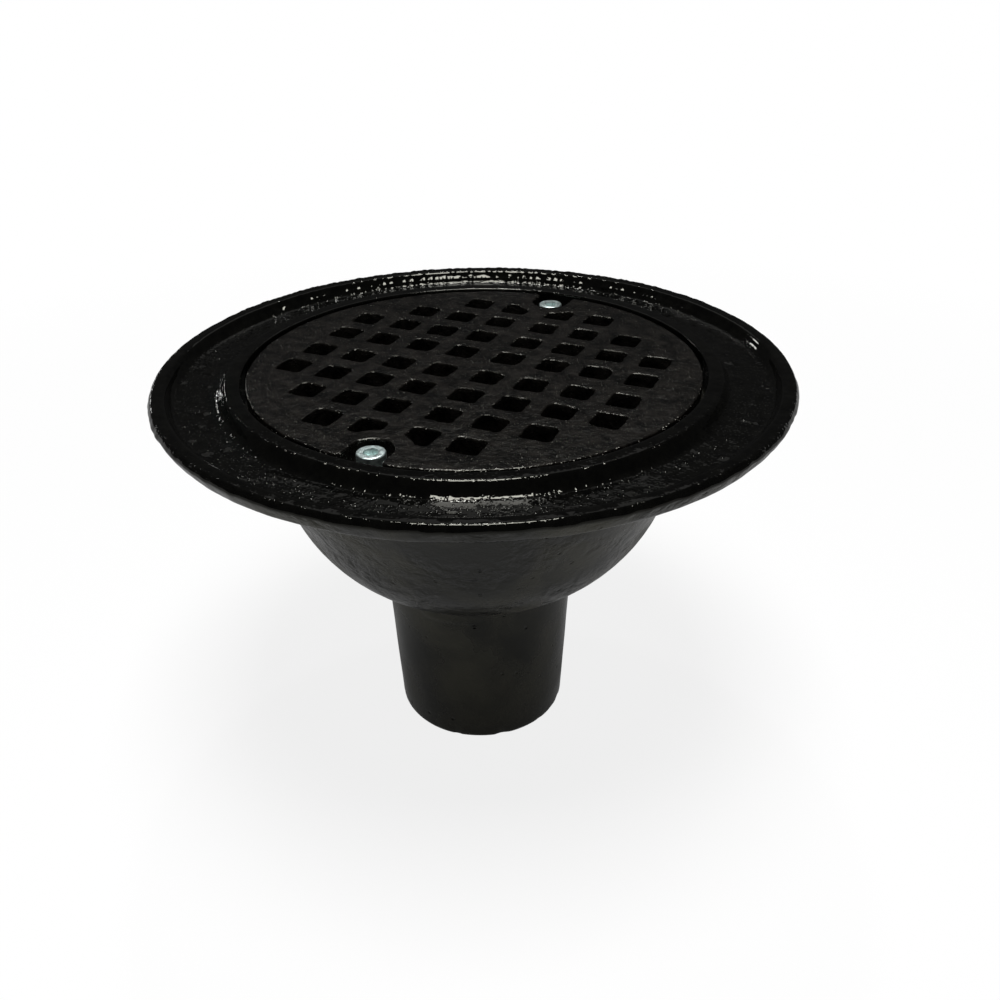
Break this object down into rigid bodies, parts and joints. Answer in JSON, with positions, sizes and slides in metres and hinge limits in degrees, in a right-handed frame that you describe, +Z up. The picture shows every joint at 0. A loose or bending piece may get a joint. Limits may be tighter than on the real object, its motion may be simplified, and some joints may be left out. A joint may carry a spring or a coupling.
{
  "type": "scupper drain",
  "caption": "Round cast-iron scupper drain: raised rim and ring, flush strainer grate with square holes held by socket screws, deep round bowl and a tapered bottom spigot.",
  "frame": {"origin": "centre of the outlet spigot's lower end, on the surface the drain stands on", "axes": "+Z up the drain's axis through the grate; the two grate screws lie on the Y axis and the grate's rows of holes run along X"},
  "size_m": [0.205, 0.205, 0.1342],
  "materials": {
    "body_paint": "sand-cast iron under glossy black bitumen paint",
    "grate_paint": "sand-cast iron under satin black bitumen paint",
    "zinc_screw": "zinc-plated steel"
  },
  "bodies": {
    "root": {"drain_body": "body_paint", "strainer_grate": "grate_paint", "grate_screws": "zinc_screw"}
  },
  "joints": []
}
